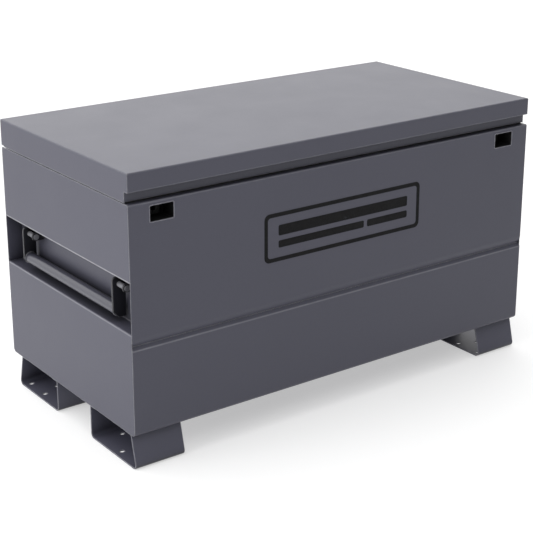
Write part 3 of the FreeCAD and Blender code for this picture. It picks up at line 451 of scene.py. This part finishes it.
def window_hems(shape, sides=8):
    """The rolled edge inside each lock window: a thin rounded bead along all four sides."""
    for side in ("left", "right"):
        low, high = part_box(side + "_lock_housing")
        middle = (low + high) / 2
        width, height = high.x - low.x - 2 * SHEET, high.z - low.z - 2 * SHEET
        path = rounded_outline(middle.x, middle.z, width, height, WINDOW_CORNER)
        rings = []
        for i, (x, z) in enumerate(path):
            before, after = path[i - 1], path[(i + 1) % len(path)]
            out = Vector((after[1] - before[1], 0, before[0] - after[0])).normalized()
            centre = Vector((x, low.y - HEM_SETBACK, z))
            rings.append(ring(shape, centre, out * HEM_RADIUS, Vector((0, HEM_RADIUS, 0)), sides))
        skin(shape, rings, closed=True)


# ---- Sticker on the front ----

STICKER_X, STICKER_Z = -0.007, 0.4835
STICKER_PROUD, STICKER_SUNK = 0.0002, 0.0001
BORDER_OUTER = (0.482, 0.120, 0.014)
BORDER_INNER = (0.462, 0.100, 0.008)
BAR_CORNER = 0.004
BARS = ((0.0, 0.016, 0.400, 0.026), (-0.070, -0.018, 0.260, 0.018), (0.135, -0.018, 0.130, 0.018))


def sticker(shape):
    """A printed border and three plain bars, standing a fifth of a millimetre proud."""
    front_y, back_y = FRONT_Y - STICKER_PROUD, FRONT_Y + STICKER_SUNK

    def loop(outline, y):
        return [shape.verts.new((x, y, z)) for x, z in outline]

    outer = rounded_outline(STICKER_X, STICKER_Z, *BORDER_OUTER)
    inner = rounded_outline(STICKER_X, STICKER_Z, *BORDER_INNER)
    border = [loop(outer, front_y), loop(inner, front_y), loop(inner, back_y), loop(outer, back_y)]
    skin(shape, border, closed=True)
    for dx, dz, width, height in BARS:
        outline = rounded_outline(STICKER_X + dx, STICKER_Z + dz, width, height, BAR_CORNER)
        front, back = loop(outline, front_y), loop(outline, back_y)
        skin(shape, [front, back], closed=False)
        shape.faces.new(front)
        shape.faces.new(back)


# ---- Studio ----

FLOOR_GREY, FLOOR_GLOW, FLOOR_REACH, FLOOR_CLOUDS = 0.55, 0.45, 60.0, 0.6
WORLD_LOW, WORLD_HIGH = 0.04, 1.85
WORLD_BRIGHT_WAY = (0.05, 0.62, 0.75)
WHITE = (1.0, 1.0, 1.0, 1.0)

# Softboxes: place, what it points at, width and height, watts.
SOFTBOXES = {
    "front_key": ((-1.7, -2.7, 3.1), (0.0, 0.0, 0.40), (3.0, 1.6), 38.0),
    "left_key": ((-4.2, 0.0, 1.9), (0.0, 0.0, 0.35), (2.5, 2.5), 76.0),
    "back_panel": ((1.0, 5.5, 2.3), (0.0, 0.0, 0.70), (9.0, 3.0), 8.0),
}

CAMERA_AZIMUTH, CAMERA_ELEVATION = -36.2, 17.72
CAMERA_TARGET, CAMERA_DISTANCE = (-0.01894, 0.0, 0.42771), 3.51809
CAMERA_LENS, CAMERA_SENSOR, CAMERA_SHIFT = 91.447, 36.0, -0.1


def studio_floor():
    """A plain pale floor that glows a little, so that shadows stay faint."""
    mesh = bpy.data.meshes.new("floor")
    far = FLOOR_REACH
    mesh.from_pydata([(-far, -far, 0), (far, -far, 0), (far, far, 0), (-far, far, 0)], [], [(0, 1, 2, 3)])
    floor = bpy.data.objects.new("floor", mesh)
    bpy.context.scene.collection.objects.link(floor)
    tree = Tree("studio floor")
    tone = tree.ramp(tree.noise(FLOOR_CLOUDS, 3.0), 0.3, 0.7)
    pale = (FLOOR_GREY, FLOOR_GREY, FLOOR_GREY)
    tree.drive(tree.mix(tone, scaled(pale, 0.99), pale), "Base Color")
    settings = {"Roughness": 0.8, "Specular IOR Level": 0.1, "Emission Color": WHITE,
                "Emission Strength": FLOOR_GLOW}
    for key, setting in settings.items():
        tree.shader.inputs[key].default_value = setting
    mesh.materials.append(tree.material)


def studio_world():
    """A soft surround, brightest above and behind the chest, dim in front of it, plain white to look at."""
    world = bpy.data.worlds.new("studio")
    world.use_nodes = True
    world_nodes, links = world.node_tree.nodes, world.node_tree.links
    surround = world_nodes["Background"]
    surround.inputs["Color"].default_value = WHITE
    dot = world_nodes.new("ShaderNodeVectorMath")
    dot.operation = "DOT_PRODUCT"
    dot.inputs[1].default_value = Vector(WORLD_BRIGHT_WAY).normalized()
    links.new(world_nodes.new("ShaderNodeTexCoord").outputs["Generated"], dot.inputs[0])
    glow = world_nodes.new("ShaderNodeMapRange")
    glow.interpolation_type = "SMOOTHSTEP"
    limits = {"From Min": -0.1, "From Max": 0.9, "To Min": WORLD_LOW, "To Max": WORLD_HIGH}
    for key, setting in limits.items():
        glow.inputs[key].default_value = setting
    links.new(dot.outputs["Value"], glow.inputs["Value"])
    links.new(glow.outputs["Result"], surround.inputs["Strength"])

    backdrop = world_nodes.new("ShaderNodeBackground")
    backdrop.inputs["Color"].default_value = WHITE
    seen = world_nodes.new("ShaderNodeLightPath").outputs["Is Camera Ray"]
    choose = world_nodes.new("ShaderNodeMixShader")
    links.new(seen, choose.inputs["Fac"])
    links.new(surround.outputs["Background"], choose.inputs[1])
    links.new(backdrop.outputs["Background"], choose.inputs[2])
    links.new(choose.outputs["Shader"], world_nodes["World Output"].inputs["Surface"])
    bpy.context.scene.world = world


def softbox(name, place, target, size, watts):
    data = bpy.data.lights.new(name, "AREA")
    data.shape = "RECTANGLE"
    data.size, data.size_y = size
    data.energy = watts
    lamp = bpy.data.objects.new(name, data)
    lamp.location = place
    lamp.rotation_mode = "QUATERNION"
    lamp.rotation_quaternion = (Vector(target) - Vector(place)).to_track_quat("-Z", "Y")
    bpy.context.scene.collection.objects.link(lamp)


def camera():
    """The photograph's angle, solved from the corners of the lid, body and feet."""
    azimuth, elevation = math.radians(CAMERA_AZIMUTH), math.radians(CAMERA_ELEVATION)
    level = math.cos(elevation)
    back = Vector((math.sin(azimuth) * level, -math.cos(azimuth) * level, math.sin(elevation)))
    data = bpy.data.cameras.new("camera")
    data.sensor_width = CAMERA_SENSOR
    data.lens = CAMERA_LENS
    data.shift_y = CAMERA_SHIFT
    data.clip_start, data.clip_end = 0.05, 200.0
    cam = bpy.data.objects.new("camera", data)
    cam.location = Vector(CAMERA_TARGET) + back * CAMERA_DISTANCE
    cam.rotation_mode = "QUATERNION"
    cam.rotation_quaternion = (-back).to_track_quat("-Z", "Y")
    bpy.context.scene.collection.objects.link(cam)
    bpy.context.scene.camera = cam


# ---- The scene ----

paint_nodes()
mesh_piece("foot_stitch_welds", "chest", finish["foot_paint"], foot_welds)
mesh_piece("lug_welds", "chest", finish["bracket_paint"], lug_welds)
for side in ("left", "right"):
    mesh_piece(side + "_grip_welds", side + "_handle", finish["handle_paint"],
               grip_welds(side))
mesh_piece("window_hems", "chest", hem_painted_highlight, window_hems)
mesh_piece("front_sticker", "chest", sticker_ink, sticker)

studio_floor()
studio_world()
for name, settings in SOFTBOXES.items():
    softbox(name, *settings)
camera()
bpy.context.scene.view_settings.view_transform = "Standard"
